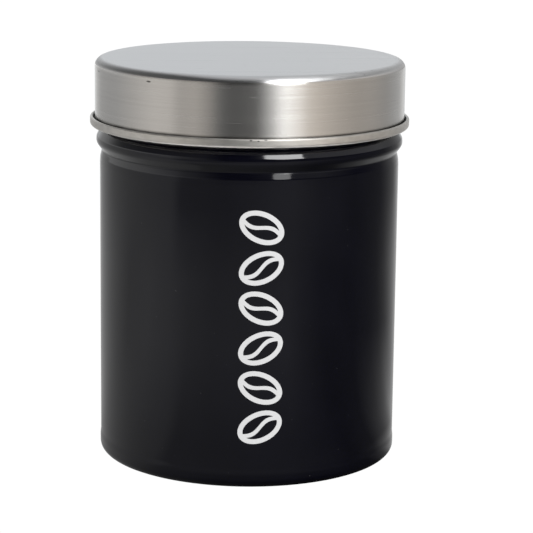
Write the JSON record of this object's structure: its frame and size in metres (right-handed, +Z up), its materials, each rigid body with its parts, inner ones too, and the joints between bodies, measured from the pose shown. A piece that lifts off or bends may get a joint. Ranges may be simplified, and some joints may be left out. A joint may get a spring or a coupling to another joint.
{
  "type": "coffee tin",
  "caption": "Round storage canister with a painted steel body, a bead under its neck and a lift-off stainless steel slip lid with a rolled rim.",
  "frame": {"origin": "centre of the circle that the tin stands on", "axes": "+Z up along the tin's axis; -Y is the front, with the printed marks; +Y is the back, with the wall's weld"},
  "size_m": [0.1118, 0.1118, 0.1405],
  "materials": {
    "body_paint": "gloss",
    "compound": "matte",
    "mark_ink": "satin",
    "lid_steel": "brushed",
    "seal_silicone": "matte"
  },
  "bodies": {
    "canister": {"wall_shell": "body_paint", "base_disc": "body_paint", "seam_compound": "compound", "lowest_bean_mark": "mark_ink", "second_bean_mark": "mark_ink", "third_bean_mark": "mark_ink", "fourth_bean_mark": "mark_ink", "fifth_bean_mark": "mark_ink", "highest_bean_mark": "mark_ink"},
    "seal": {"lid_seal": "seal_silicone"},
    "lid": {"lid_shell": "lid_steel"}
  },
  "joints": [
    {"name": "lid_lift", "type": "slide", "parent": "canister", "child": "seal", "axis": [0, 0, 1], "range_m": [0, 0.07]},
    {"name": "lid_turn", "type": "hinge", "parent": "seal", "child": "lid", "pos_m": [0, 0, 0.13], "axis": [0, 0, 1], "continuous": true}
  ]
}
